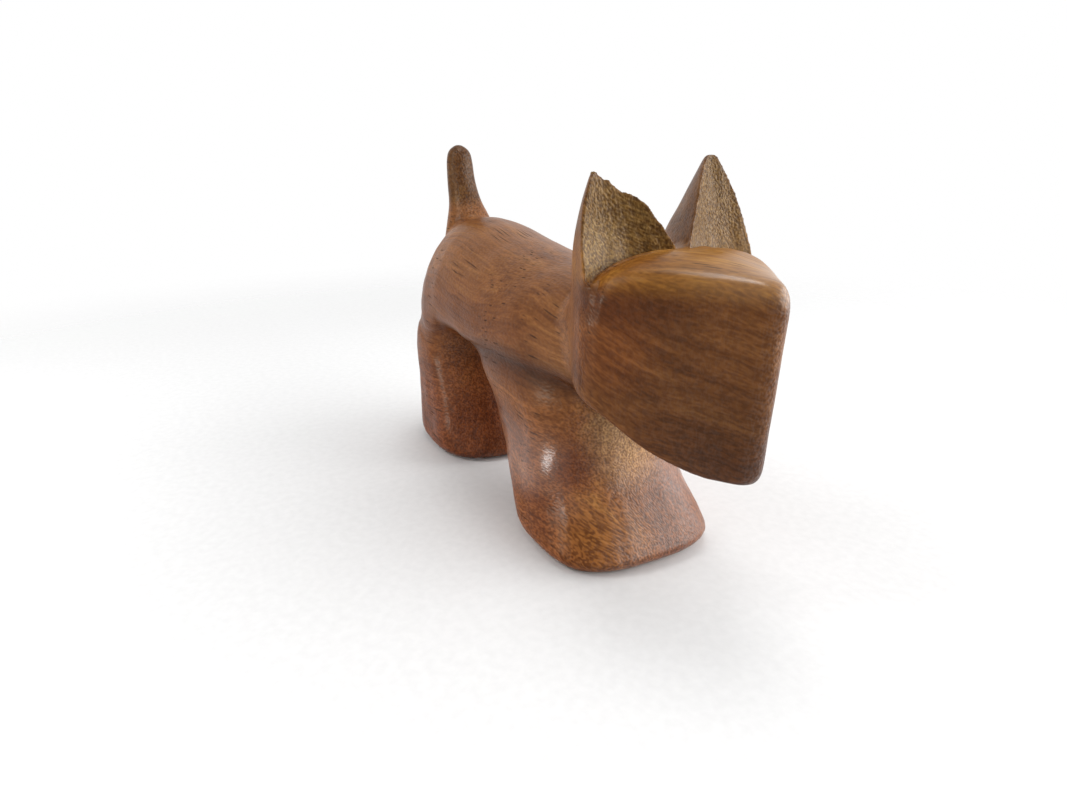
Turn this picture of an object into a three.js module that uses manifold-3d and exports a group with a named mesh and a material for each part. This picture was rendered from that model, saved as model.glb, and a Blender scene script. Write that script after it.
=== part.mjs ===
// A carved wooden dog: a long low body on two broad leg blocks, an upright tail, a wedge head, scooped ears
// Seven blocks glued on hidden dowels and carved flush, in millimetres, +X to the nose and +Z up
import * as THREE from "three";
import { mergeVertices } from "three/addons/utils/BufferGeometryUtils.js";
import Module from "manifold-3d";

const wasm = await Module();
wasm.setup();

// Body: heights above the table, widths across, and places along X
const BACK_HEIGHT_REAR = 77;
const BACK_HEIGHT_FRONT = 70.5;
const BELLY_HEIGHT = 41.5;
const TORSO_WIDTH = 44;
const NECK_WIDTH = 36.5;
const RUMP_X = -119;
const HIP_X = -96;
const SHOULDER_X = -38;
const RUMP_FALL = 20;
const HIP_DROP = 16;
const SHOULDER_DROP = 2;
const NECK_ROOT = 17;

// Head
const HEAD_WIDTH = 47;
const NOSE_X = 34.9;
const CHIN_X = 32.6;
const NOSE_HEIGHT = 76;
const BROW_HEIGHT = 72.5;
const CROWN_HEIGHT = 78.3;
const CHIN_HEIGHT = 34;
const JAW_HEIGHT = 46;
const HEAD_REAR_X = -17;
const JAW_ROUNDING = 0.09;
const BROW_ROUNDING = 0.15;

// Ears
const EAR_HEIGHT = 98.5;
const EAR_LINE_X = 4;
const EAR_SPREAD = 47;
const EAR_TIP_SPREAD = 29.5;
const EAR_TIP_X = -4.6;
const EAR_BACK_X = -16;
const EAR_SCOOP = 2.8;
const EAR_ROOT = 5;
const BREAK_DEPTH = 8.4;
const BREAK_SPAN = 8;

// Leg blocks
const FOOT_HEIGHT = 5;
const FOOT_ROUNDING = 3.6;
const FRONT_FOOT_WIDTH = 47;
const FRONT_SHANK_WIDTH = 39;
const FRONT_TOE_X = 4.7;
const FRONT_HEEL_X = -35;
const CHEST_X = -9;
const ELBOW_X = -65;
const REAR_FOOT_WIDTH = 46.5;
const REAR_SHANK_WIDTH = 43.5;
const REAR_TOE_X = -70;
const REAR_HEEL_X = -114;
const STIFLE_X = -87;
const LEG_ROOT = 10;
const ARCH_REACH = 24;

// Tail
const TAIL_HEIGHT = 99.5;
const TAIL_DIAMETER = 9.6;
const TAIL_TIP_X = -115.5;
const TAIL_ROOT_X = -107;
const TAIL_FLARE = 16;

// Joints between the blocks, and the dowels in them
const LEG_JOINT_DROP = 3;
const EAR_SEAT_HEIGHT = 72;
const TAIL_JOINT_RISE = 1.5;
const LEG_DOWEL_DIAMETER = 8;
const LEG_DOWEL_LENGTH = 30;
const NECK_DOWEL_DIAMETER = 8;
const NECK_DOWEL_LENGTH = 26;
const EAR_DOWEL_DIAMETER = 4;
const EAR_DOWEL_LENGTH = 14;
const TAIL_DOWEL_DIAMETER = 4;
const TAIL_DOWEL_LENGTH = 22;
const DOWEL_PITCH = 20;
const DOWEL_CLEARANCE = 0.3;

const RING_POINTS = 32;
const { lerp, clamp, degToRad } = THREE.MathUtils;

// Signed power, the corner law of a superellipse
const corner = (value, power) => Math.sign(value) * Math.abs(value) ** (2 / power);

// Fractions from 0 to 1 in equal steps
const steps = (count) => Array.from({ length: count + 1 }, (_, i) => i / count);
const ringAngles = steps(RING_POINTS).slice(0, -1).map((t) => 2 * Math.PI * t);

// A smooth function through [position, value] knots, by cubic Hermite pieces
function rail(...knots) {
  const slope = (i) => {
    const a = knots[Math.max(i - 1, 0)];
    const b = knots[Math.min(i + 1, knots.length - 1)];
    return (b[1] - a[1]) / (b[0] - a[0]);
  };
  return (position) => {
    const found = knots.findIndex((knot) => knot[0] >= position);
    const i = found < 0 ? knots.length - 1 : Math.max(found, 1);
    const [p0, v0] = knots[i - 1];
    const [p1, v1] = knots[i];
    const span = p1 - p0;
    const t = clamp((position - p0) / span, 0, 1);
    const start = v0 * (2 * t ** 3 - 3 * t ** 2 + 1) + slope(i - 1) * span * (t ** 3 - 2 * t ** 2 + t);
    return start + v1 * (3 * t ** 2 - 2 * t ** 3) + slope(i) * span * (t ** 3 - t ** 2);
  };
}

// A closed skin through rings of points, each ring running the same way round, with a fan on each end
function loft(rings) {
  const count = rings[0].length;
  const points = rings.flat();
  const middle = (ring) => ring.reduce((sum, p) => sum.add(p), new THREE.Vector3()).divideScalar(count);
  points.push(middle(rings[0]), middle(rings.at(-1)));
  const faces = [];
  for (let r = 0; r + 1 < rings.length; r++) {
    for (let i = 0; i < count; i++) {
      const a = r * count + i;
      const b = r * count + ((i + 1) % count);
      faces.push(a, b, a + count, b, b + count, a + count);
    }
  }
  const last = (rings.length - 1) * count;
  for (let i = 0; i < count; i++) {
    const j = (i + 1) % count;
    faces.push(points.length - 2, j, i);
    faces.push(points.length - 1, last + i, last + j);
  }
  return solid(new THREE.BufferGeometry().setFromPoints(points).setIndex(faces));
}

// A three.js geometry as a solid for joining and cutting
function solid(geometry) {
  geometry.deleteAttribute("normal");
  geometry.deleteAttribute("uv");
  const merged = mergeVertices(geometry, 1e-4);
  const mesh = new wasm.Mesh({
    numProp: 3,
    vertProperties: new Float32Array(merged.attributes.position.array),
    triVerts: new Uint32Array(merged.index.array),
  });
  return new wasm.Manifold(mesh);
}

// A block between two corners, for cutting the joints
function block(low, high) {
  const size = high.map((h, i) => h - low[i]);
  const made = new THREE.BoxGeometry(...size);
  made.translate(...low.map((l, i) => l + size[i] / 2));
  return solid(made);
}

// A flat outline carried straight up by a depth
function prism(corners, depth) {
  const outline = new THREE.Shape(corners.map(([x, y]) => new THREE.Vector2(x, y)));
  return new THREE.ExtrudeGeometry(outline, { depth, bevelEnabled: false });
}

// Torso: egg-shaped sections along X, widest below the middle
function torsoForm() {
  const end = HEAD_REAR_X + NECK_ROOT;
  const loin = lerp(HIP_X, SHOULDER_X, 0.6);
  const top = rail(
    [RUMP_X, BACK_HEIGHT_REAR - RUMP_FALL],
    [lerp(RUMP_X, HIP_X, 0.45), BACK_HEIGHT_REAR - 0.34 * RUMP_FALL],
    [HIP_X, BACK_HEIGHT_REAR],
    [loin, lerp(BACK_HEIGHT_REAR, BACK_HEIGHT_FRONT, 0.6)],
    [SHOULDER_X, BACK_HEIGHT_FRONT],
    [end, BACK_HEIGHT_FRONT],
  );
  const bottom = rail(
    [RUMP_X, BELLY_HEIGHT - HIP_DROP],
    [HIP_X, BELLY_HEIGHT - HIP_DROP / 2],
    [STIFLE_X, BELLY_HEIGHT],
    [ELBOW_X, BELLY_HEIGHT],
    [SHOULDER_X, BELLY_HEIGHT - SHOULDER_DROP],
    [HEAD_REAR_X, BELLY_HEIGHT],
    [end, BELLY_HEIGHT + 6],
  );
  const half = rail(
    [RUMP_X, TORSO_WIDTH / 2 - 1],
    [HIP_X, TORSO_WIDTH / 2],
    [SHOULDER_X, TORSO_WIDTH / 2 - 0.5],
    [HEAD_REAR_X, NECK_WIDTH / 2],
    [end, NECK_WIDTH / 2 - 1],
  );
  const rings = steps(26).slice(1, -1).map((t) => {
    const x = lerp(RUMP_X, end, (1 - Math.cos(Math.PI * t)) / 2);
    const rear = clamp((x - RUMP_X) / (HIP_X - RUMP_X), 0, 1);
    const front = clamp((end - x) / 6, 0, 1);
    const close = Math.sqrt(1 - (1 - rear) ** 2.4) * Math.sqrt(1 - (1 - front) ** 2);
    const wide = lerp(bottom(x), top(x), 0.3);
    return ringAngles.map((a) => {
      const up = Math.sin(a) > 0;
      const reach = (up ? top(x) - wide : wide - bottom(x)) * lerp(0.5, 1, close);
      const power = up ? 2.1 : 3.6;
      const y = half(x) * close * corner(Math.cos(a), power);
      return new THREE.Vector3(x, y, wide + reach * corner(Math.sin(a), power));
    });
  });
  return loft(rings);
}

// Leg block: rounded sections up Z between a front line, a rear line and a half width
function legForm(front, rear, half, height) {
  const levels = [0, 0.08, 0.22, 0.45, 0.7, 1].map((t) => t * FOOT_ROUNDING);
  levels.push(...steps(10).slice(1).map((t) => lerp(FOOT_ROUNDING, height, t)));
  const rings = levels.map((z) => {
    const inset = FOOT_ROUNDING * (1 - Math.sqrt(1 - (1 - Math.min(z / FOOT_ROUNDING, 1)) ** 2));
    const power = lerp(3, 2.6, clamp(z / BELLY_HEIGHT, 0, 1));
    const length = (front(z) - rear(z)) / 2 - inset;
    return ringAngles.map((a) => {
      const x = (front(z) + rear(z)) / 2 + length * corner(Math.cos(a), power);
      return new THREE.Vector3(x, (half(z) - inset) * corner(Math.sin(a), power), z);
    });
  });
  return loft(rings);
}

function frontLegForm() {
  const shank = lerp(FOOT_HEIGHT, BELLY_HEIGHT, 0.45);
  const height = BELLY_HEIGHT + LEG_ROOT;
  const front = rail(
    [0, FRONT_TOE_X - 0.5],
    [FOOT_HEIGHT, FRONT_TOE_X],
    [shank, lerp(CHEST_X, FRONT_TOE_X, 0.2)],
    [BELLY_HEIGHT, CHEST_X],
    [height, CHEST_X],
  );
  const rear = rail(
    [0, FRONT_HEEL_X],
    [FOOT_HEIGHT, FRONT_HEEL_X - 6],
    [shank, lerp(FRONT_HEEL_X, ELBOW_X, 0.75)],
    [BELLY_HEIGHT - 8, ELBOW_X],
    [height, ELBOW_X - ARCH_REACH],
  );
  const half = rail(
    [0, FRONT_FOOT_WIDTH / 2],
    [FOOT_HEIGHT, FRONT_FOOT_WIDTH / 2],
    [shank, FRONT_SHANK_WIDTH / 2],
    [BELLY_HEIGHT, TORSO_WIDTH / 2 - 1.2],
    [height, TORSO_WIDTH / 2 - 6],
  );
  return legForm(front, rear, half, height);
}

function rearLegForm() {
  const shank = lerp(FOOT_HEIGHT, BELLY_HEIGHT, 0.5);
  const height = BELLY_HEIGHT + LEG_ROOT;
  const front = rail(
    [0, REAR_TOE_X - 1],
    [FOOT_HEIGHT, REAR_TOE_X],
    [shank, lerp(STIFLE_X, REAR_TOE_X, 0.3)],
    [BELLY_HEIGHT - 6, STIFLE_X],
    [height, STIFLE_X + ARCH_REACH / 2],
  );
  const rear = rail(
    [0, REAR_HEEL_X],
    [FOOT_HEIGHT, lerp(REAR_HEEL_X, RUMP_X, 0.3)],
    [shank, RUMP_X],
    [BELLY_HEIGHT, RUMP_X + 1],
    [height, RUMP_X + 6],
  );
  const half = rail(
    [0, REAR_FOOT_WIDTH / 2 - 0.4],
    [FOOT_HEIGHT, REAR_FOOT_WIDTH / 2],
    [shank, REAR_SHANK_WIDTH / 2],
    [BELLY_HEIGHT, TORSO_WIDTH / 2 - 0.9],
    [height, TORSO_WIDTH / 2 - 6],
  );
  return legForm(front, rear, half, height);
}

// Head: one plan outline, a rounded triangle, carried from the jaw line up to the crown
function headForm() {
  const half = HEAD_WIDTH / 2;
  const outline = new THREE.Path();
  outline.moveTo(HEAD_REAR_X, -NECK_WIDTH / 2 + 2);
  const cheek = EAR_LINE_X + 1;
  outline.bezierCurveTo(HEAD_REAR_X + 9, -NECK_WIDTH / 2, cheek - 8, -half + 0.4, cheek - 3, -half + 0.2);
  outline.quadraticCurveTo(cheek, -half + 0.2, cheek + 3, -half + 1.9);
  outline.quadraticCurveTo((EAR_LINE_X + NOSE_X) / 2, -half * 0.58, NOSE_X - 4.2, -4.4);
  outline.quadraticCurveTo(NOSE_X, -2.6, NOSE_X, 0);
  const right = outline.getSpacedPoints(22);
  const left = right.slice(1, -1).reverse().map((p) => new THREE.Vector2(p.x, -p.y));
  const plan = [...right, ...left];
  const centre = (HEAD_REAR_X + NOSE_X) / 2;
  const jaw = rail(
    [HEAD_REAR_X, JAW_HEIGHT + 6],
    [EAR_LINE_X + 2, JAW_HEIGHT],
    [lerp(EAR_LINE_X, NOSE_X, 0.36), lerp(JAW_HEIGHT, CHIN_HEIGHT, 0.56)],
    [lerp(EAR_LINE_X, NOSE_X, 0.7), CHIN_HEIGHT + 0.6],
    [NOSE_X, CHIN_HEIGHT + 0.4],
  );
  const brow = rail(
    [HEAD_REAR_X, BROW_HEIGHT - 6],
    [EAR_LINE_X, BROW_HEIGHT],
    [lerp(EAR_LINE_X, NOSE_X, 0.35), lerp(BROW_HEIGHT, NOSE_HEIGHT, 0.68)],
    [NOSE_X, NOSE_HEIGHT],
  );
  const crown = rail(
    [HEAD_REAR_X, 1.5],
    [EAR_LINE_X, CROWN_HEIGHT - BROW_HEIGHT],
    [lerp(EAR_LINE_X, NOSE_X, 0.5), 3.6],
    [NOSE_X, 0.2],
  );
  const rings = [];
  const ring = (level, scale, lift) => {
    rings.push(plan.map((p) => {
      const x = centre + (p.x - centre) * scale;
      const y = p.y * scale;
      const rise = lift * crown(x) * (1 - scale ** 3);
      const z = lerp(jaw(x), brow(x), level) + rise;
      const lean = x > centre ? lerp((CHIN_X - centre) / (NOSE_X - centre), 1, level) : 1;
      return new THREE.Vector3(centre + (x - centre) * lean, y, z);
    }));
  };
  const turn = steps(4).map((t) => degToRad(90 * t));
  const depth = (a, size) => 0.8 * size * (1 - Math.cos(a));
  const inset = (a, size) => 1 - size * (1 - Math.sin(a));
  [0.25, 0.5, 0.72].forEach((scale) => ring(0, scale, 0));
  turn.forEach((a) => ring(depth(a, JAW_ROUNDING), inset(a, JAW_ROUNDING), 0));
  [0.3, 0.5, 0.7].forEach((level) => ring(level, 1, 0));
  turn.reverse().forEach((a) => ring(1 - depth(a, BROW_ROUNDING), inset(a, BROW_ROUNDING), Math.cos(a)));
  [0.7, 0.48, 0.25].forEach((scale) => ring(1, scale, 1));
  return loft(rings);
}

// Ear: three-sided sections up Z with a hollowed front, on the right for -1 or the left for 1
function earForm(side) {
  const root = EAR_SEAT_HEIGHT - EAR_ROOT;
  const tip = EAR_TIP_SPREAD / 2;
  const outerX = rail(
    [0, EAR_LINE_X + 0.6],
    [0.17, EAR_LINE_X - 0.3],
    [0.53, lerp(EAR_LINE_X, EAR_TIP_X, 0.5)],
    [1, EAR_TIP_X],
  );
  const innerX = rail(
    [0, EAR_LINE_X + 3],
    [0.37, EAR_LINE_X + 1.5],
    [0.65, lerp(EAR_LINE_X, EAR_TIP_X, 0.32)],
    [1, EAR_TIP_X + 0.2],
  );
  const outerY = rail(
    [0, EAR_SPREAD / 2],
    [0.17, EAR_SPREAD / 2],
    [0.45, lerp(EAR_SPREAD / 2, tip, 0.1)],
    [0.67, lerp(EAR_SPREAD / 2, tip, 0.29)],
    [0.9, lerp(EAR_SPREAD / 2, tip, 0.7)],
    [1, tip + 0.8],
  );
  const innerY = rail(
    [0, 0.4],
    [0.37, 1.4],
    [0.65, 0.43 * tip],
    [0.9, 0.74 * tip],
    [1, tip - 1],
  );
  const backX = rail(
    [0, EAR_BACK_X - 0.5],
    [0.37, EAR_BACK_X + 0.5],
    [0.6, lerp(EAR_BACK_X, EAR_TIP_X, 0.4)],
    [1, EAR_TIP_X - 1],
  );
  const backY = rail([0, EAR_SPREAD / 4], [0.5, EAR_SPREAD / 4], [1, tip - 0.2]);
  const rings = [...steps(10), 0.97].sort((a, b) => a - b).map((t) => {
    const outer = new THREE.Vector2(outerX(t), outerY(t));
    const inner = new THREE.Vector2(innerX(t), innerY(t));
    const back = new THREE.Vector2(backX(t), backY(t));
    const share = outer.distanceTo(inner) / EAR_SPREAD;
    const between = (p, q, x, y) => {
      const bulge = new THREE.Vector2(x, y).multiplyScalar(2 * share);
      return p.clone().lerp(q, 0.5).add(bulge);
    };
    const hollow = between(outer, inner, -2 * EAR_SCOOP, 0);
    const front = new THREE.QuadraticBezierCurve(outer, hollow, inner);
    const rim = [inner, between(inner, back, -1, -1.2), back, between(back, outer, -1.3, 2.2), outer];
    const behind = new THREE.SplineCurve(rim);
    const points = [...front.getPoints(8).slice(0, -1), ...behind.getPoints(14).slice(0, -1)];
    const ring = points.map((p) => new THREE.Vector3(p.x, p.y * side, lerp(root, EAR_HEIGHT, t)));
    return side > 0 ? ring.reverse() : ring;
  });
  return loft(rings);
}

// The snapped tip of the right ear: a jagged slab cut away, as shares of the break's span and depth
function earBreak() {
  const edge = [
    [-1.15, 1.25],
    [-0.6, 0.73],
    [-0.37, 0.46],
    [-0.2, 0.52],
    [-0.06, 0.64],
    [0.16, 0.7],
    [0.29, 0.81],
    [0.44, 0.98],
    [0.67, 1],
    [1.2, 1.37],
  ];
  const lip = edge.map(([across, down]) => [
    BREAK_SPAN * across - EAR_TIP_SPREAD / 2,
    EAR_HEIGHT - BREAK_DEPTH * down,
  ]);
  const above = EAR_HEIGHT + BREAK_DEPTH;
  const depth = EAR_LINE_X - EAR_BACK_X + 2 * EAR_ROOT;
  const slab = prism([[lip[0][0], above], ...lip, [lip.at(-1)[0], above]], depth);
  slab.rotateX(Math.PI / 2);
  slab.rotateZ(Math.PI / 2);
  slab.translate(EAR_BACK_X - EAR_ROOT, 0, 0);
  return solid(slab);
}

// Tail: round sections up Z on a curved axis, flared into the back
const TAIL_FOOT = BACK_HEIGHT_REAR - TAIL_FLARE;
const tailLine = () => rail(
  [0, TAIL_ROOT_X + 3],
  [0.3, TAIL_ROOT_X],
  [0.65, lerp(TAIL_ROOT_X, TAIL_TIP_X, 0.75)],
  [1, TAIL_TIP_X],
);
function tailForm() {
  const r = TAIL_DIAMETER / 2;
  const radius = rail(
    [0, 2.46 * r],
    [0.35, 1.62 * r],
    [0.5, 1.21 * r],
    [0.65, 1.04 * r],
    [0.9, 0.88 * r],
    [0.96, 0.62 * r],
    [1, 0.08 * r],
  );
  const axis = tailLine();
  const levels = [...steps(12), 0.96, 0.985].sort((a, b) => a - b);
  const rings = levels.map((t) => ringAngles.filter((_, i) => i % 2 === 0).map((a) => {
    const z = lerp(TAIL_FOOT, TAIL_HEIGHT, t);
    return new THREE.Vector3(axis(t) + radius(t) * Math.cos(a), radius(t) * Math.sin(a), z);
  }));
  return loft(rings);
}

// The whole carving, before it is parted into its blocks
const bodyForms = [torsoForm(), frontLegForm(), rearLegForm(), tailForm()];
const headForms = [headForm(), earForm(-1), earForm(1)];
const joined = [...bodyForms, ...headForms].reduce((whole, form) => whole.add(form));
let carving = joined.subtract(earBreak());

// Planes of the glued joints
const legJoint = BELLY_HEIGHT - LEG_JOINT_DROP;
const tailJoint = BACK_HEIGHT_REAR + TAIL_JOINT_RISE;
const neckJoint = HEAD_REAR_X - 1;
const earWall = EAR_LINE_X + 3;
const FAR = 300;

// The space under the belly leans, so a leaning cut parts the rear legs from the front ones
function rearLegSide() {
  const low = (REAR_TOE_X + FRONT_HEEL_X) / 2;
  const high = (STIFLE_X + ELBOW_X - 5) / 2;
  const made = prism([[-FAR, -1], [low, -1], [high, legJoint], [-FAR, legJoint]], 2 * FAR);
  made.rotateX(Math.PI / 2);
  made.translate(0, FAR, 0);
  return solid(made);
}

// Saws the piece inside a cutter off the carving
function saw(cutter) {
  const piece = carving.intersect(cutter);
  carving = carving.subtract(cutter);
  return piece;
}

const pieces = {
  tail: saw(block([-FAR, -FAR, tailJoint], [HIP_X, FAR, FAR])),
  right_ear: saw(block([neckJoint, -FAR, EAR_SEAT_HEIGHT], [earWall, 0, FAR])),
  left_ear: saw(block([neckJoint, 0, EAR_SEAT_HEIGHT], [earWall, FAR, FAR])),
  rear_legs: saw(rearLegSide()),
  front_legs: saw(block([-FAR, -FAR, -FAR], [earWall, FAR, legJoint])),
  torso: saw(block([-FAR, -FAR, -FAR], [neckJoint, FAR, FAR])),
  head: carving,
};

// A round rod on a centre, along a direction
function rod(diameter, length, centre, direction) {
  const made = new THREE.CylinderGeometry(diameter / 2, diameter / 2, length, 20);
  const upright = new THREE.Vector3(0, 1, 0);
  made.applyQuaternion(new THREE.Quaternion().setFromUnitVectors(upright, direction.clone().normalize()));
  made.translate(centre.x, centre.y, centre.z);
  return solid(made);
}

// A dowel across a joint, with its hole bored in both blocks
function dowel(name, host, guest, diameter, length, centre, direction) {
  const hole = rod(diameter + 2 * DOWEL_CLEARANCE, length, centre, direction);
  pieces[host] = pieces[host].subtract(hole);
  pieces[guest] = pieces[guest].subtract(hole);
  pieces[name] = rod(diameter, length, centre, direction);
}

const ALONG = new THREE.Vector3(1, 0, 0);
const UP = new THREE.Vector3(0, 0, 1);
const neckMiddle = (BACK_HEIGHT_FRONT + BELLY_HEIGHT) / 2;
const frontLegMiddle = (CHEST_X + ELBOW_X) / 2;
const rearLegMiddle = (STIFLE_X + RUMP_X) / 2;
const earMiddle = (EAR_LINE_X + EAR_BACK_X) / 2;
for (const [word, side] of [["right", -1], ["left", 1]]) {
  const y = (side * DOWEL_PITCH) / 2;
  const neck = new THREE.Vector3(neckJoint, y, neckMiddle);
  dowel(`${word}_neck_dowel`, "torso", "head", NECK_DOWEL_DIAMETER, NECK_DOWEL_LENGTH, neck, ALONG);
  const shoulder = new THREE.Vector3(frontLegMiddle, y, legJoint);
  const [wide, long] = [LEG_DOWEL_DIAMETER, LEG_DOWEL_LENGTH];
  dowel(`${word}_front_leg_dowel`, "torso", "front_legs", wide, long, shoulder, UP);
  const hip = new THREE.Vector3(rearLegMiddle, y, legJoint);
  dowel(`${word}_rear_leg_dowel`, "torso", "rear_legs", wide, long, hip, UP);
  const seat = new THREE.Vector3(earMiddle, (side * EAR_SPREAD) / 4, EAR_SEAT_HEIGHT);
  dowel(`${word}_ear_dowel`, "head", `${word}_ear`, EAR_DOWEL_DIAMETER, EAR_DOWEL_LENGTH, seat, UP);
}
const tailAxis = tailLine();
const tailShare = (tailJoint - TAIL_FOOT) / (TAIL_HEIGHT - TAIL_FOOT);
const tailDrift = tailAxis(tailShare + 0.15) - tailAxis(tailShare - 0.15);
const tailLean = new THREE.Vector3(tailDrift, 0, 0.3 * (TAIL_HEIGHT - TAIL_FOOT));
const tailSeat = new THREE.Vector3(tailAxis(tailShare), 0, tailJoint);
dowel("tail_dowel", "torso", "tail", TAIL_DOWEL_DIAMETER, TAIL_DOWEL_LENGTH, tailSeat, tailLean);

// Colours of the lacquered blocks and of the bare dowels
const LACQUER = {
  torso: 0x7d5435,
  head: 0x77502f,
  right_ear: 0x86663f,
  left_ear: 0x86663f,
  tail: 0x7b4d28,
};
const LEG_LACQUER = 0x7e4c2a;
const BARE_WOOD = 0xcdb083;

const figure = new THREE.Group();
for (const [name, piece] of Object.entries(pieces)) {
  const mesh = piece.getMesh();
  const geometry = new THREE.BufferGeometry();
  geometry.setAttribute("position", new THREE.BufferAttribute(mesh.vertProperties, 3));
  geometry.setIndex(new THREE.BufferAttribute(mesh.triVerts, 1));
  const bare = name.endsWith("dowel");
  const color = bare ? BARE_WOOD : LACQUER[name] ?? LEG_LACQUER;
  const material = new THREE.MeshStandardMaterial({ color, roughness: bare ? 0.7 : 0.35, metalness: 0 });
  const part = new THREE.Mesh(geometry, material);
  part.name = name;
  figure.add(part);
}

// Origin under the middle of the figure
const box = new THREE.Box3().setFromObject(figure);
const middle = box.getCenter(new THREE.Vector3());
figure.children.forEach((part) => part.geometry.translate(-middle.x, -middle.y, 0));

export default figure;
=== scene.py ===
import itertools
import math
from types import SimpleNamespace

import bmesh
import bpy
import numpy as np
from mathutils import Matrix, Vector, noise


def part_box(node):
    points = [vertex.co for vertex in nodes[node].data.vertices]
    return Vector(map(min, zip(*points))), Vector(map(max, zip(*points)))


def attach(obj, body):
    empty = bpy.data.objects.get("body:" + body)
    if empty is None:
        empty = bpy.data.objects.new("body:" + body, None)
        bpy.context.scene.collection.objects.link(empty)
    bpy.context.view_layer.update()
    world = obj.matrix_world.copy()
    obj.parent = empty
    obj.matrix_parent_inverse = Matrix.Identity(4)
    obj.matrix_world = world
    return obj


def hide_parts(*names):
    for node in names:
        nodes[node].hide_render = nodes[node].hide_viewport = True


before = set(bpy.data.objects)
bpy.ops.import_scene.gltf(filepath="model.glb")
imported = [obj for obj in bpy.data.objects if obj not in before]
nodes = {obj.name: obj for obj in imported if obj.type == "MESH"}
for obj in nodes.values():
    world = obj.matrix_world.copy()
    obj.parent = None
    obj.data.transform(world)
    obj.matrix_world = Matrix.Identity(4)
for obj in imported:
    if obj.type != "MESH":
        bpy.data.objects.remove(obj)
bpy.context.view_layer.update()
scene = bpy.context.scene
MM = 0.001

# Blocks of the carving, with the record's finish for each
WOOD = {
    "tail": "body_wood",
    "right_ear": "ear_wood",
    "left_ear": "ear_wood",
    "rear_legs": "leg_wood",
    "front_legs": "leg_wood",
    "torso": "body_wood",
    "head": "body_wood",
}
DOWELS = [name for name in nodes if name not in WOOD]

# Joint planes, from the frame's boxes
TAIL_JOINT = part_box("tail")[0].z
EAR_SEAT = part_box("right_ear")[0].z
EAR_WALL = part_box("right_ear")[1].x
LEG_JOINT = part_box("front_legs")[1].z
NECK_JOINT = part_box("head")[0].x
EAR_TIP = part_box("left_ear")[1].z
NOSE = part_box("head")[1].x

# Slanting cut between the leg blocks, at the floor and at the leg joint
LEG_GAP_LOW = -10.3 * MM
LEG_GAP_HIGH = -36.3 * MM

# Sizes of the carved surface: grids, how far each softening reaches and blends, and the dowels' play
BODY_GRID = 0.6 * MM
EAR_GRID = 0.28 * MM
EDGE_REACH = 0.4 * MM
RIM_REACH = 0.65 * MM
HEAD_REACH = 1.0 * MM
NOSE_REACH = 3.0 * MM
BODY_REACH = 1.8 * MM
FILLET_REACH = 5.0 * MM
FILLET_SPREAD = 2.6 * MM
FILLET_GAIN = 6
HOLLOW_REACH = 0.6 * MM
HOLLOW_DEPTH = 0.006 * MM
CRISP_SPREAD = 0.7 * MM
CRISP_GAIN = 2.2
GOUGE_SPREAD = 1.2 * MM
HEAD_BLEND = (4 * MM, 18 * MM)
NOSE_BLEND = (32 * MM, 12 * MM)
PATCH_MARGIN = 15 * MM
BORE_CLEARANCE = 0.3 * MM
SHARP_ANGLE = math.radians(50)
FAR = 0.3

# Ear fronts and tips: which way the fronts face, where they begin, how far down the tips are torn or worn
EAR_FACING = np.array((0.93, 0, 0.36))
SEAT_BLEND = (0.5 * MM, 2 * MM)
NECK_BLEND = (0, 4 * MM)
WALL_BLEND = (0, 0.5 * MM)
TEAR_START = 11 * MM
TEAR_END = 9 * MM
TIP_START = 2.5 * MM
TIP_WEAR = 1.6 * MM

# Forms on the sides of the legs, in mm: place and reach along X and Z, and height
KNEE = (21.5, 21)
KNEE_REACH = (11, 6.5)
KNEE_SWELL = 2.0
HOCK = (-40, 15)
HOCK_REACH = (7, 8)
HOCK_SWELL = 1.2
GROOVE_Z = 45
GROOVE_REACH = 3.2
GROOVE_DEPTH = 0.8
GROOVE_REAR_X = (-25, 0)
GROOVE_FRONT_X = (34, 24)

# Unevenness, by its pitch or scale and its height in mm: broad and fine swells, gouge marks, torn fibres
BROAD_PITCH = 9
BROAD_SWELL = 0.15
BROAD_LEG_SWELL = 0.2
FINE_PITCH = 5
FINE_SWELL = 0.05
FINE_LEG_SWELL = 0.05
LEG_BLEND = 12 * MM
HEAD_CALM = 0.65
CALM_X = (30, 46)
FLUTE_SCALE = (0.1, 0.45, 0.13)
FLUTE_DEPTH = 0.2
PEBBLE_SCALE = 1.3
PEBBLE_DEPTH = 0.022
GRIT_SCALE = 2.4
TEAR_SCALE = 0.9
TEAR_DEPTH = 0.3
SPLINTER_DEPTH = 0.16


# Mesh helpers
def new_object(name, points, faces):
    mesh = bpy.data.meshes.new(name)
    mesh.from_pydata([tuple(p) for p in points], [], [tuple(f) for f in faces])
    return linked(name, mesh)


def linked(name, data):
    obj = bpy.data.objects.new(name, data)
    scene.collection.objects.link(obj)
    return obj


def evaluated(obj):
    graph = bpy.context.evaluated_depsgraph_get()
    return bpy.data.meshes.new_from_object(obj.evaluated_get(graph))


def read(mesh, what="co"):
    values = np.empty(len(mesh.vertices) * 3)
    mesh.vertices.foreach_get(what, values)
    return values.reshape(-1, 3)


def write(mesh, points):
    mesh.vertices.foreach_set("co", np.ascontiguousarray(points).ravel())
    mesh.update()


def drop(obj):
    bpy.data.objects.remove(obj, do_unlink=True)


def ramp(values, low, high):
    t = np.clip((values - low) / (high - low), 0, 1)
    return t * t * (3 - 2 * t)


# Corners of a box, cutters and cuts
def box_between(low, high):
    return list(itertools.product(*zip(low, high)))


def hull(points):
    work = bmesh.new()
    made = [work.verts.new(p) for p in points]
    bmesh.ops.convex_hull(work, input=made)
    bmesh.ops.recalc_face_normals(work, faces=work.faces)
    mesh = bpy.data.meshes.new("cutter")
    work.to_mesh(mesh)
    work.free()
    return linked("cutter", mesh)


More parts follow.
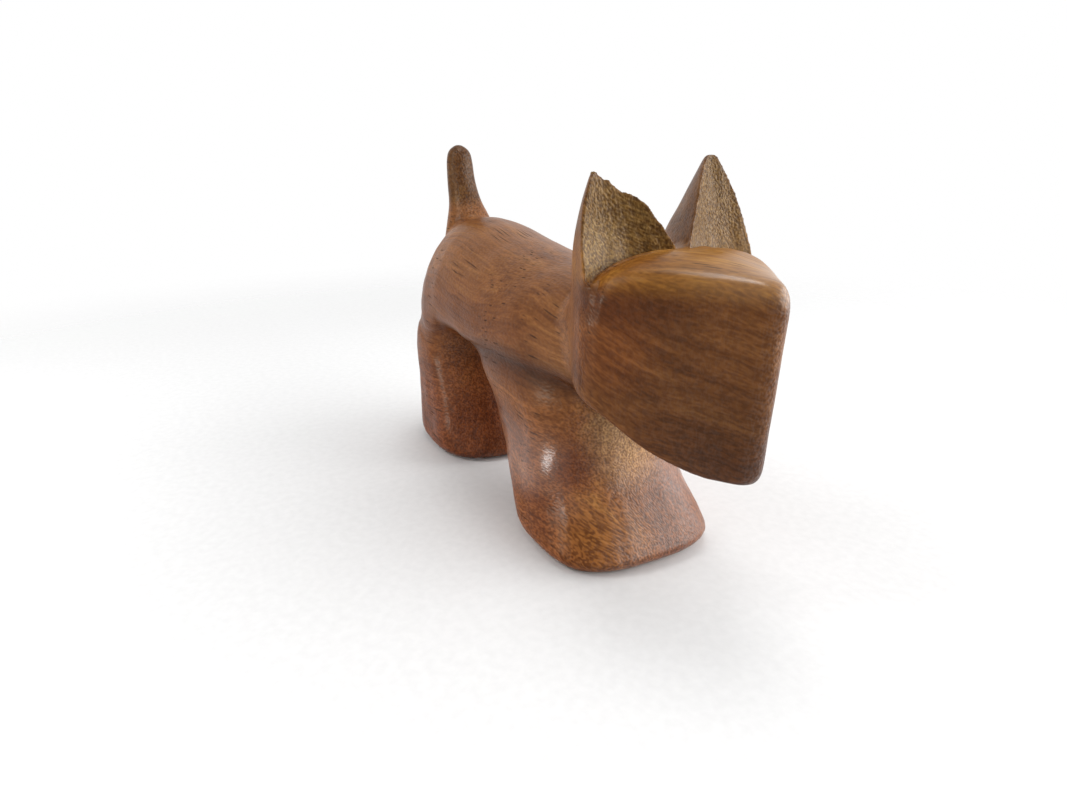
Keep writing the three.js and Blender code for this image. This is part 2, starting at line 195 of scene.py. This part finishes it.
# The cap of a cut has many corners, so it is split into triangles
def cut(obj, cutter, operation):
    change = obj.modifiers.new("cut", "BOOLEAN")
    change.solver = "MANIFOLD"
    change.operation = operation
    change.object = cutter
    made = evaluated(obj)
    obj.modifiers.remove(change)
    work = bmesh.new()
    work.from_mesh(made)
    bmesh.ops.triangulate(work, faces=[f for f in work.faces if len(f.verts) > 4])
    work.to_mesh(made)
    work.free()
    return made


# One closed skin over all the blocks, on an even grid
def joined_skin(name, grid):
    points, faces = [], []
    for block in WOOD:
        mesh = nodes[block].data
        start = len(points)
        points += [v.co for v in mesh.vertices]
        faces += [[start + i for i in p.vertices] for p in mesh.polygons]
    source = new_object("joined_blocks", points, faces)
    remesh = source.modifiers.new("skin", "REMESH")
    remesh.mode = "VOXEL"
    remesh.voxel_size = grid
    skin = linked(name, evaluated(source))
    drop(source)
    return skin


# Keeps the outermost of the skin's shells
def keep_largest_shell(obj):
    work = bmesh.new()
    work.from_mesh(obj.data)
    left = set(work.verts)
    shells = []
    while left:
        seed = left.pop()
        shell, front = {seed}, [seed]
        while front:
            near = {e.other_vert(v) for v in front for e in v.link_edges} - shell
            shell |= near
            front = list(near)
        left -= shell
        shells.append(shell)
    shells.sort(key=len)
    spare = [v for shell in shells[:-1] for v in shell]
    bmesh.ops.delete(work, geom=spare, context="VERTS")
    work.to_mesh(obj.data)
    work.free()


# Averages a value at each vertex over its neighbours, as far as the reach
def relax(obj, values, reach, grid):
    kept = read(obj.data)
    write(obj.data, values)
    smooth = obj.modifiers.new("relax", "SMOOTH")
    smooth.factor = 0.5
    smooth.iterations = max(1, round(4 * (reach / grid) ** 2))
    made = read(evaluated(obj))
    obj.modifiers.remove(smooth)
    write(obj.data, kept)
    return made


def spread(obj, mask, reach, grid):
    return relax(obj, np.repeat(mask[:, None], 3, axis=1), reach, grid)[:, 0]


# How much each point lies on the hollowed front of an ear
def ear_front(points, normals):
    x, _, z = points.T
    above = ramp(z - EAR_SEAT, *SEAT_BLEND) * ramp(x - NECK_JOINT, *NECK_BLEND)
    behind = ramp(EAR_WALL - x, *WALL_BLEND)
    return above * behind * ramp(normals @ EAR_FACING, 0.5, 0.75)


# Softens without shrinking: what a pass takes off too much is put back
def sand(skin, points, reach, grid):
    soft = relax(skin, points, reach, grid)
    return soft - relax(skin, soft - points, reach, grid)


# Sands the skin, least on the cheeks and most on the nose, fills inner corners, keeps ear fronts crisp
def carve(skin, grid, edge):
    first = relax(skin, read(skin.data), edge, grid)
    write(skin.data, first)
    normal = read(skin.data, "normal")
    crisp = np.clip(spread(skin, ear_front(first, normal), CRISP_SPREAD, grid) * CRISP_GAIN, 0, 1)
    on_head = ramp(first[:, 0] - NECK_JOINT, *HEAD_BLEND)[:, None]
    at_nose = ramp(NOSE - first[:, 0], *NOSE_BLEND)[:, None]
    body = sand(skin, first, BODY_REACH, grid)
    head = sand(skin, first, HEAD_REACH, grid)
    head += (sand(skin, first, NOSE_REACH, grid) - head) * at_nose
    shape = body + (head - body) * on_head
    hollow = ((relax(skin, first, HOLLOW_REACH, grid) - first) * normal).sum(axis=1)
    inner = (hollow > HOLLOW_DEPTH) * (1 - crisp)
    corner = np.clip(spread(skin, inner, FILLET_SPREAD, grid) * FILLET_GAIN, 0, 1)
    filled = relax(skin, shape, FILLET_REACH, grid)
    shape += (filled - shape) * ramp(corner, 0, 1)[:, None]
    shape += (first - shape) * ramp(crisp, 0, 1)[:, None]
    write(skin.data, shape)


# Knee, hock and the groove above the knee, as heights in mm on the sides of the legs
def mound(x, z, middle, reach):
    return np.exp(-((z - middle[1]) / reach[1]) ** 2 - ((x - middle[0]) / reach[0]) ** 2)


def leg_forms(points, normals):
    x, _, z = (points / MM).T
    knee = KNEE_SWELL * mound(x, z, KNEE, KNEE_REACH)
    hock = HOCK_SWELL * mound(x, z, HOCK, HOCK_REACH)
    groove = np.exp(-((z - GROOVE_Z) / GROOVE_REACH) ** 2)
    groove *= ramp(x, *GROOVE_REAR_X) * ramp(x, *GROOVE_FRONT_X)
    return ramp(np.abs(normals[:, 1]), 0.35, 0.8) * (knee + hock - GROOVE_DEPTH * groove)


# Leg forms, hand-carved unevenness, gouge marks on the ear fronts and torn fibres on the snapped tip
def tool_marks(skin, grid):
    shape = read(skin.data)
    normal = read(skin.data, "normal")
    gouged = ear_front(shape, normal)
    gouged *= ramp(spread(skin, gouged, GOUGE_SPREAD, grid), 0.45, 0.95)
    torn = ramp(shape[:, 2], EAR_TIP - TEAR_START, EAR_TIP - TEAR_END) * ramp(normal[:, 2], 0.45, 0.8)
    torn *= (shape[:, 1] < 0) * (shape[:, 0] > NECK_JOINT)
    on_legs = ramp(shape[:, 2], LEG_JOINT, LEG_JOINT - LEG_BLEND)
    rough = 1 - HEAD_CALM * ramp(shape[:, 0] / MM, *CALM_X)
    lift = leg_forms(shape, normal)
    for i, point in enumerate(shape / MM):
        p = Vector(point)
        swell = (BROAD_SWELL + BROAD_LEG_SWELL * on_legs[i]) * noise.noise(p / BROAD_PITCH)
        fine_place = p / FINE_PITCH + Vector((7, 3, 1))
        swell += (FINE_SWELL + FINE_LEG_SWELL * on_legs[i]) * noise.noise(fine_place)
        lift[i] += rough[i] * swell
        if gouged[i] > 0.01:
            flute = noise.noise(Vector([a * b for a, b in zip(p, FLUTE_SCALE)]))
            pebble = noise.noise(p * PEBBLE_SCALE + Vector((0, 9, 4))) + 0.6 * noise.noise(p * GRIT_SCALE)
            lift[i] += gouged[i] * (FLUTE_DEPTH * flute + PEBBLE_DEPTH * pebble)
        if torn[i] > 0.01:
            tear = noise.noise(p * TEAR_SCALE)
            splinter = noise.noise(p * GRIT_SCALE)
            lift[i] += torn[i] * (TEAR_DEPTH * tear + SPLINTER_DEPTH * splinter)
    ahead = shape[:, 0] > 0
    shape += normal * (lift * MM)[:, None]
    tip = EAR_TIP - TIP_START
    blunt = tip + TIP_WEAR * np.tanh((shape[:, 2] - tip) / TIP_WEAR)
    shape[:, 2] = np.where(ahead & (shape[:, 2] > tip), blunt, np.maximum(shape[:, 2], 0))
    write(skin.data, shape)
    fresh = skin.data.attributes.new("fresh_cut", "FLOAT", "POINT")
    fresh.data.foreach_set("value", np.maximum(gouged, torn))


# The whole carving, and a finer skin for the ears
carving = joined_skin("carving", BODY_GRID)
fine = joined_skin("fine", EAR_GRID)
around_ears = hull(box_between(
    (NECK_JOINT - PATCH_MARGIN, -FAR, EAR_SEAT - PATCH_MARGIN),
    (EAR_WALL + PATCH_MARGIN, FAR, FAR),
))
fine.data = cut(fine, around_ears, "INTERSECT")
drop(around_ears)
for skin, grid, edge in ((carving, BODY_GRID, EDGE_REACH), (fine, EAR_GRID, RIM_REACH)):
    keep_largest_shell(skin)
    carve(skin, grid, edge)
    tool_marks(skin, grid)

# Parting into the blocks of the frame
rear_side = [(-FAR, -MM), (LEG_GAP_LOW, -MM), (LEG_GAP_HIGH, LEG_JOINT), (-FAR, LEG_JOINT)]
cutters = {
    "tail": box_between((-FAR, -FAR, TAIL_JOINT), (0, FAR, FAR)),
    "right_ear": box_between((NECK_JOINT, -FAR, EAR_SEAT), (EAR_WALL, 0, FAR)),
    "left_ear": box_between((NECK_JOINT, 0, EAR_SEAT), (EAR_WALL, FAR, FAR)),
    "rear_legs": [(x, y, z) for x, z in rear_side for y in (-FAR, FAR)],
    "front_legs": box_between((-FAR, -FAR, -FAR), (EAR_WALL, FAR, LEG_JOINT)),
    "torso": box_between((-FAR, -FAR, -FAR), (NECK_JOINT, FAR, FAR)),
}
pieces = {}
for name, corners in cutters.items():
    cutter = hull(corners)
    skin = fine if name.endswith("_ear") else carving
    pieces[name] = linked(name + "_carved", cut(skin, cutter, "INTERSECT"))
    carving.data = cut(carving, cutter, "DIFFERENCE")
    drop(cutter)
drop(fine)
carving.name = "head_carved"
pieces["head"] = carving


# Dowel holes, a little wider than the dowels
def bore(name):
    points = np.unique(np.round(read(nodes[name].data), 7), axis=0)
    middle = points.mean(axis=0)
    axis = np.linalg.svd(points - middle, full_matrices=False)[2][0]
    along = np.outer((points - middle) @ axis, axis)
    out = points - middle - along
    out *= 1 + BORE_CLEARANCE / np.linalg.norm(out, axis=1).max()
    return hull([tuple(p) for p in middle + along + out])


# The two blocks that a dowel joins
def hosts(name):
    words = name.split("_")
    on_torso = {"neck": "head", "front": "front_legs", "rear": "rear_legs", "tail": "tail"}
    for word, block in on_torso.items():
        if word in words:
            return "torso", block
    return "head", words[0] + "_ear"


for name in DOWELS:
    cutter = bore(name)
    for host in hosts(name):
        pieces[host].data = cut(pieces[host], cutter, "DIFFERENCE")
    drop(cutter)
for name, piece in pieces.items():
    piece.data.name = piece.name
    piece.data.shade_smooth()
    piece.data.set_sharp_from_angle(angle=SHARP_ANGLE)
    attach(piece, "root")
    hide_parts(name)


# Node graphs, with short words for the sums that masks need
class Graph:
    def __init__(self, name, owner=None):
        self.material = owner or bpy.data.materials.new(name)
        self.material.use_nodes = True
        self.tree = self.material.node_tree
        self.tree.nodes.clear()

    def feed(self, socket, value):
        if isinstance(value, bpy.types.NodeSocket):
            self.tree.links.new(value, socket)
        else:
            socket.default_value = value

    def add(self, kind, inputs=None, **settings):
        node = self.tree.nodes.new("ShaderNode" + kind)
        for key, value in settings.items():
            setattr(node, key, value)
        for key, value in (inputs or {}).items():
            self.feed(node.inputs[key], value)
        return node

    def math(self, operation, a, b=0.0):
        return self.add("Math", {0: a, 1: b}, operation=operation).outputs[0]

    def total(self, first, *others):
        for other in others:
            first = self.math("ADD", first, other)
        return first

    def product(self, first, *others):
        for other in others:
            first = self.math("MULTIPLY", first, other)
        return first

    def less(self, a, b):
        return self.math("SUBTRACT", a, b)

    # A share that grows from 0 to 1 between low and high, or shrinks from 1 to 0
    def rise(self, value, low, high):
        inputs = {"Value": value, "From Min": low, "From Max": high}
        return self.add("MapRange", inputs, interpolation_type="SMOOTHSTEP").outputs[0]

    def fall(self, value, low, high):
        return self.less(1.0, self.rise(value, low, high))

    def near(self, place, middle, reach):
        gap = self.add("VectorMath", {0: place, 1: middle}, operation="DISTANCE")
        return self.fall(gap.outputs["Value"], *reach)

    def vector(self, operation, a, b):
        return self.add("VectorMath", {0: a, 1: b}, operation=operation).outputs[0]

    def split(self, vector):
        return self.add("SeparateXYZ", {"Vector": vector}).outputs

    def noise(self, vector, scale, detail=2.0, roughness=0.5):
        inputs = {"Vector": vector, "Scale": scale, "Detail": detail, "Roughness": roughness}
        return self.add("TexNoise", inputs).outputs[0]

    # A mix of colours has its share at input 0, its colours at 6 and 7, and the outcome at output 2
    def mix(self, share, a, b, blend="MIX"):
        node = self.add("Mix", data_type="RGBA", blend_type=blend)
        for index, value in ((0, share), (6, a), (7, b)):
            self.feed(node.inputs[index], value)
        return node.outputs[2]

    def tint(self, colour, share, factors):
        return self.mix(share, colour, (*factors, 1), "MULTIPLY")

    def colours(self, value, stops):
        node = self.add("ValToRGB", {"Fac": value})
        node.color_ramp.elements.remove(node.color_ramp.elements[1])
        node.color_ramp.elements[0].position = stops[0][0]
        node.color_ramp.elements[0].color = (*stops[0][1], 1)
        for place, colour in stops[1:]:
            node.color_ramp.elements.new(place).color = (*colour, 1)
        return node.outputs[0]


# Places on the dog, in mm: the range over which each begins or ends
HEAD_X = (32.0, 46.0)
LEGS_Z = (12.0, 52.0)
REAR_LEGS_X = (-34.0, -14.0)
FLANK_LOW_Z = (34.0, 44.0)
FLANK_TOP_Z = (52.0, 70.0)
FLANK_X = (8.0, 26.0)
FLANK_Y = (-8.0, 8.0)
CROWN_Z = (70.5, 75.0)
EARS_Z = (78.0, 83.0)
BROW_Z = (63.0, 69.0)
BROW_X = (60.0, 70.0)
BRINK_X = (50.0, 66.0)
BRINK_Y = (-14.0, -2.0)
CHIN_X = (50.0, 70.0)
CHIN_Z = (36.0, 64.0)
STREAK_Z = 45.0
STREAK_REACH = (0.0, 6.5)
STREAK_X = (-60.0, -5.0)
STREAK_Y = (-14.0, -7.0)
NOSE_GLOSS_X = (56.0, 74.0)
SHIN_LOW_Z = (9.0, 17.0)
SHIN_TOP_Z = (25.0, 36.0)
LEG_FRONT_Y = (-18.0, -9.0)
EAR_SHEEN = ((46, -18, 79), (3.0, 11.0))
DULL_FOOT = ((27, -20, 9), (4.0, 12.0))

# Spots with a colour of their own, one a painted sheen and one a painted shade: middle, inner and outer
# reach in mm, and colour factors
TONE_AND_PAINTED_LIGHT_SPOTS = (
    ((50, -21, 62), (3.0, 16.0), (1.2, 1.05, 0.95)),
    ((-46, -5, 76), (2.0, 13.0), (0.8, 0.72, 0.45)),
    ((44, -13, 13), (3.0, 18.0), (1.45, 1.8, 1.5)),
    # pale chest under the chin: a painted sheen
    ((36, -1, 31), (4.0, 16.0), (2.1, 3.4, 4.6)),
    ((30, -16, 23), (2.0, 9.0), (0.72, 0.62, 0.6)),
    # lower outer side of the front leg darker: painted shade
    ((25, -20, 11), (3.0, 12.0), (0.74, 0.68, 0.66)),
)

# Colours of the wood along a share, and of its pores
GROWTH = [
    (0.3, (0.105, 0.032, 0.009)),
    (0.43, (0.19, 0.068, 0.019)),
    (0.55, (0.25, 0.097, 0.029)),
    (0.7, (0.335, 0.15, 0.048)),
]
FIGURE = [(0.34, (0.9, 0.88, 0.86)), (0.62, (1.05, 1.05, 1.05))]
TORN = [(0.35, (0.16, 0.08, 0.018)), (0.65, (0.28, 0.165, 0.046))]
THREAD = [(0.34, (0.62, 0.57, 0.52)), (0.62, (1.0, 1.0, 1.0))]
FLECK = [(0.36, (0.46, 0.4, 0.36)), (0.62, (1.0, 1.0, 1.0))]
PORE = (0.025, 0.008, 0.003, 1)
BARE = [(0.3, (0.42, 0.28, 0.15)), (0.7, (0.63, 0.46, 0.27))]
PAPER = [(0.3, (0.76, 0.76, 0.76)), (0.7, (0.8, 0.8, 0.8))]

# Grain: its turn and slope per mm in the head, faces that show its ends or length, pores, pits and relief
HEAD_TURN = -0.75
HEAD_SLOPE = 0.4
END_GRAIN = (0.4, 0.85)
LONG_GRAIN = (0.2, 0.55)
PORE_CELL = (0.045, 1.0, 1.0)
PORE_WIDTH = (0.13, 0.34)
PORE_CHANCE = (0.35, 0.6)
PORE_STREAK = (0.38, 0.55)
PIT_SCALE = (2.3, 2.3, 1.1)
PIT_GLINT = (0.44, 0.6)
GRAIN_RELIEF = 0.22 * MM
FILM_RELIEF = 0.1 * MM


# Object coordinates in mm
def in_mm(g, coordinates):
    return g.vector("MULTIPLY", coordinates["Object"], (1000, 1000, 1000))


# Bands, streaks, lines, fibres and pores, drawn out along the body, turned and sloping down in the head
def wood_grain(g, place, on_head, facing):
    along = g.product(on_head, g.less(g.split(place)[0], HEAD_X[0]))
    turned = g.add("CombineXYZ", {"Y": g.product(along, HEAD_TURN), "Z": g.product(along, HEAD_SLOPE)})
    drift = g.add("TexNoise", {"Vector": place, "Scale": 0.02, "Detail": 1.0}).outputs["Color"]
    sway = g.vector("MULTIPLY", g.vector("SUBTRACT", drift, (0.5, 0.5, 0.5)), (0, 16, 16))
    course = g.vector("ADD", place, g.vector("ADD", sway, turned.outputs[0]))

    def drawn(lengthwise, across, detail, roughness):
        stretched = g.vector("MULTIPLY", course, (lengthwise, across, across))
        return g.noise(stretched, 1.0, detail, roughness)

    streak = drawn(0.025, 0.5, 3.0, 0.6)
    cells = g.add("TexVoronoi", {"Vector": g.vector("MULTIPLY", course, PORE_CELL), "Scale": 1.0})
    chance = g.add("SeparateColor", {"Color": cells.outputs["Color"]}).outputs[0]
    pore = g.product(
        g.fall(cells.outputs["Distance"], *PORE_WIDTH),
        g.rise(chance, *PORE_CHANCE),
        g.rise(streak, *PORE_STREAK),
        g.fall(facing, *LONG_GRAIN),
    )
    return SimpleNamespace(
        band=drawn(0.008, 0.09, 2.0, 0.5),
        streak=streak,
        line=drawn(0.045, 1.1, 1.0, 0.5),
        fibre=drawn(0.8, 2.0, 0.0, 0.5),
        pore=pore,
        height=g.split(course)[2],
    )


# Parts of the dog that have a colour, a painted shade or painted light, or a gloss of their own, as
# shares
def dog_parts(g, place, on_head, grain_height):
    x, y, z = g.split(place)
    top = g.rise(z, *CROWN_Z)
    high = g.rise(z, *EARS_Z)
    legs = g.fall(z, *LEGS_Z)
    shaded_flank = g.product(g.fall(z, *FLANK_TOP_Z), g.rise(z, *FLANK_LOW_Z))
    crown = g.product(on_head, g.less(top, high))
    cheek = g.less(on_head, g.product(on_head, top))
    off_head = g.less(1.0, on_head)
    streak = g.fall(g.math("ABSOLUTE", g.less(grain_height, STREAK_Z)), *STREAK_REACH)
    return SimpleNamespace(
        legs=legs,
        rear_legs=g.product(legs, g.fall(x, *REAR_LEGS_X)),
        shaded_flank=g.product(shaded_flank, g.fall(x, *FLANK_X), g.fall(y, *FLANK_Y)),
        crown=crown,
        brink_shade=g.product(crown, g.fall(y, *BRINK_Y), g.fall(x, *BRINK_X)),
        cheek=cheek,
        brow_shade=g.product(cheek, g.rise(z, *BROW_Z), g.fall(x, *BROW_X)),
        chin_shade=g.product(g.rise(x, *CHIN_X), g.fall(z, *CHIN_Z)),
        ears=g.product(on_head, high),
        tail=g.product(high, off_head),
        streak_and_valley_shade=g.product(streak, g.rise(x, *STREAK_X), g.fall(y, *STREAK_Y), off_head),
        shin=g.product(g.rise(z, *SHIN_LOW_Z), g.fall(z, *SHIN_TOP_Z)),
        leg_front=g.rise(y, *LEG_FRONT_Y),
        nose=g.rise(x, *NOSE_GLOSS_X),
    )


# Brown hardwood with its grain along the body, open pores and a satin lacquer
def lacquered_wood(name):
    g = Graph(name)
    coordinates = g.add("TexCoord").outputs
    place = in_mm(g, coordinates)
    facing = g.math("ABSOLUTE", g.split(coordinates["Normal"])[0])
    end_grain = g.rise(facing, *END_GRAIN)
    cut_share = g.add("Attribute", attribute_name="fresh_cut").outputs["Fac"]
    on_head = g.rise(g.split(place)[0], *HEAD_X)
    grain = wood_grain(g, place, on_head, facing)
    part = dog_parts(g, place, on_head, grain.height)
    pit = g.noise(g.vector("MULTIPLY", place, PIT_SCALE), 1.0, 1.0, 0.5)
    ear_sheen = g.near(place, *EAR_SHEEN)

    # Colour: broad bands, then the darker and the warmer places, painted shade and painted light among
    # them, then cut faces, fibres and pores
    tone = g.total(g.product(grain.band, 0.55), g.product(grain.streak, 0.45))
    wood = g.colours(tone, GROWTH)
    for share, factors in (
        (part.legs, (1.22, 1.02, 1.0)),
        (part.rear_legs, (0.8, 0.7, 0.72)),
        # painted shade: the lower flank on the near side darker
        (part.shaded_flank, (0.76, 0.64, 0.54)),
        # painted shade: the head's sides below the crown darker
        (part.cheek, (0.76, 0.73, 0.7)),
        # painted shade: a dark band just under the crown's edge
        (part.brow_shade, (0.58, 0.48, 0.42)),
        # painted light: the crown lighter, for light and sheen from above
        (part.crown, (1.5, 1.75, 1.15)),
        # painted shade: the crown's near edge darker
        (part.brink_shade, (0.7, 0.58, 0.46)),
        (part.ears, (0.78, 0.8, 0.6)),
        # painted shade: the head darker towards the chin
        (part.chin_shade, (0.48, 0.43, 0.4)),
        (part.tail, (0.5, 0.52, 0.44)),
        # a darker grain streak along the flank, partly painted shade in the valley between flank and leg
        (part.streak_and_valley_shade, (0.38, 0.32, 0.28)),
    ):
        wood = g.tint(wood, share, factors)
    for middle, reach, factors in TONE_AND_PAINTED_LIGHT_SPOTS:
        wood = g.tint(wood, g.near(place, middle, reach), factors)
    wood = g.mix(part.cheek, wood, g.colours(grain.streak, FIGURE), "MULTIPLY")
    # the torn colour lighter at the right ear's lower front: a painted sheen
    torn = g.tint(g.colours(pit, TORN), ear_sheen, (1.5, 1.6, 1.6))
    wood = g.mix(g.product(cut_share, 0.8), wood, torn)
    threads = g.less(0.75, g.product(part.cheek, 0.35))
    wood = g.mix(threads, wood, g.colours(grain.line, THREAD), "MULTIPLY")
    ends = g.product(end_grain, g.less(1.0, part.cheek))
    flecks = g.product(g.math("MAXIMUM", part.legs, ends), 0.55)
    flecks = g.total(0.3, flecks, g.product(part.cheek, 0.25))
    wood = g.mix(flecks, wood, g.colours(grain.fibre, FLECK), "MULTIPLY")
    wood = g.mix(g.product(grain.pore, 0.85), wood, PORE)

    # Surface: fibres stand a little proud of the pores, most where the grain ends
    height = g.less(g.product(grain.fibre, 1.4), g.product(grain.pore, 0.5))
    height = g.total(height, g.product(cut_share, pit, 0.5))
    grip = g.total(0.3, g.product(end_grain, 0.2), g.product(cut_share, 0.4))
    grip = g.product(grip, g.less(1.0, g.product(part.crown, 0.7)))
    relief = {"Strength": grip, "Height": height}
    bump = g.add("Bump", {**relief, "Distance": GRAIN_RELIEF}).outputs[0]
    film = g.add("Bump", {**relief, "Distance": FILM_RELIEF}).outputs[0]
    rough = g.total(g.product(grain.streak, 0.2), g.product(grain.pore, 0.2), 0.26)

    # Lacquer: thin on the flanks, thicker where the grain ends, on the crown's nose end and the front leg
    glint = g.total(0.1, g.product(g.rise(pit, *PIT_GLINT), 0.4))
    glint = g.product(glint, g.less(1.0, g.product(cut_share, 0.6)))
    shin = g.product(part.shin, g.less(1.0, end_grain), 0.9)
    shin = g.total(shin, g.product(end_grain, part.leg_front, 0.6))
    front_leg = g.product(g.less(part.legs, part.rear_legs), shin)
    crest = g.product(part.crown, part.nose, 0.8)
    gloss = g.total(0.05, g.product(end_grain, glint), crest, front_leg)
    gloss = g.product(gloss, g.less(1.0, g.product(g.near(place, *DULL_FOOT), 0.85)))
    gloss = g.total(gloss, g.product(ear_sheen, cut_share, 0.35))
    surface = g.add("BsdfPrincipled", {
        "Base Color": wood,
        "Roughness": rough,
        "Specular IOR Level": 0.12,
        "Specular Tint": (1.0, 0.86, 0.62, 1),
        "Normal": bump,
        "Coat Weight": gloss,
        "Coat Roughness": g.total(0.25, g.product(end_grain, 0.2)),
        "Coat Normal": film,
    })
    g.add("OutputMaterial", {"Surface": surface.outputs[0]})
    return g.material


# Pale dry wood of the dowels
def bare_wood(name):
    g = Graph(name)
    place = in_mm(g, g.add("TexCoord").outputs)
    line = g.noise(g.vector("MULTIPLY", place, (0.9, 0.9, 0.25)), 1.0, 3.0, 0.6)
    bump = g.add("Bump", {"Strength": 0.3, "Distance": FILM_RELIEF, "Height": line}).outputs[0]
    surface = g.add("BsdfPrincipled", {
        "Base Color": g.colours(line, BARE),
        "Roughness": g.total(0.55, g.product(line, 0.25)),
        "Normal": bump,
    })
    g.add("OutputMaterial", {"Surface": surface.outputs[0]})
    return g.material


finishes = {slot: lacquered_wood(slot) for slot in sorted(set(WOOD.values()))}
for name, piece in pieces.items():
    piece.data.materials.clear()
    piece.data.materials.append(finishes[WOOD[name]])
dowel_wood = bare_wood("dowel_wood")
for name in DOWELS:
    nodes[name].data.materials.clear()
    nodes[name].data.materials.append(dowel_wood)

# Pale floor that fades out into the white surround
FLOOR_FADE = (0.16, 0.45)
floor = new_object("floor", [(-1, -1, 0), (1, -1, 0), (1, 1, 0), (-1, 1, 0)], [(0, 1, 2, 3)])
g = Graph("floor")
spot = g.add("TexCoord").outputs["Object"]
away = g.add("VectorMath", {0: spot}, operation="LENGTH").outputs["Value"]
paper = g.colours(g.noise(spot, 420.0, 3.0), PAPER)
matt = g.add("BsdfPrincipled", {"Base Color": paper, "Roughness": 0.8})
clear = g.add("BsdfTransparent")
fade = g.rise(away, *FLOOR_FADE)
both = g.add("MixShader", {0: fade, 1: matt.outputs[0], 2: clear.outputs[0]})
g.add("OutputMaterial", {"Surface": both.outputs[0]})
floor.data.materials.append(g.material)

# Surround: white to the eye and in reflections, and as light a soft sky, dim to the dog's right and front
BRIGHT_SIDE = (-0.35, 0.94, 0)
world = bpy.data.worlds.new("surround")
scene.world = world
sky = Graph(None, world)
way = sky.add("TexCoord").outputs["Generated"]
toward = sky.add("VectorMath", {0: way, 1: BRIGHT_SIDE}, operation="DOT_PRODUCT").outputs["Value"]
level = sky.add("MapRange", {
    "Value": toward,
    "From Min": -0.25,
    "From Max": 0.2,
    "To Min": 0.12,
    "To Max": 1.0,
}, interpolation_type="SMOOTHSTEP").outputs[0]
path = sky.add("LightPath").outputs
for ray in ("Is Camera Ray", "Is Glossy Ray", "Is Transmission Ray"):
    level = sky.math("MAXIMUM", level, path[ray])
air = sky.add("Background", {"Color": (1, 1, 1, 1), "Strength": level})
sky.add("OutputWorld", {"Surface": air.outputs[0]})

# Soft lamps: a broad window to the dog's left, a skylight and a low doorway to its right, one overhead
LAMP_AIM = Vector((0.03, 0, 0.04))


def lamp(name, radiance, width, height, way, distance):
    light = bpy.data.lights.new(name, "AREA")
    light.shape = "RECTANGLE"
    light.size = width
    light.size_y = height
    light.energy = radiance * width * height * math.pi
    obj = linked(name, light)
    obj.location = LAMP_AIM + Vector(way).normalized() * distance
    obj.rotation_euler = (-Vector(way)).to_track_quat("-Z", "Y").to_euler()


lamp("window", 3.7, 0.9, 0.5, (0.6, 0.78, 0.3), 0.6)
lamp("skylight", 6.0, 0.18, 0.24, (-0.2, -0.68, 0.7), 0.5)
lamp("ceiling", 6.0, 0.22, 0.22, (-0.2, 0.1, 0.97), 0.6)
lamp("doorway", 22.0, 0.15, 0.08, (-0.3, -0.95, 0.1), 0.5)

# Camera at the photo's place
CAMERA_PLACE = (0.16435, -0.0995, 0.1)
CAMERA_TURN = math.radians(28.5)
CAMERA_PITCH = math.radians(20.2)
camera = linked("camera", bpy.data.cameras.new("camera"))
scene.camera = camera
camera.data.sensor_width = 36
camera.data.lens = 23.62
camera.data.clip_start = 0.01
level_way = Vector((-math.cos(CAMERA_TURN), math.sin(CAMERA_TURN), 0))
looking = level_way * math.cos(CAMERA_PITCH) - Vector((0, 0, math.sin(CAMERA_PITCH)))
camera.location = CAMERA_PLACE
camera.rotation_euler = looking.to_track_quat("-Z", "Y").to_euler()
scene.view_settings.view_transform = "Standard"
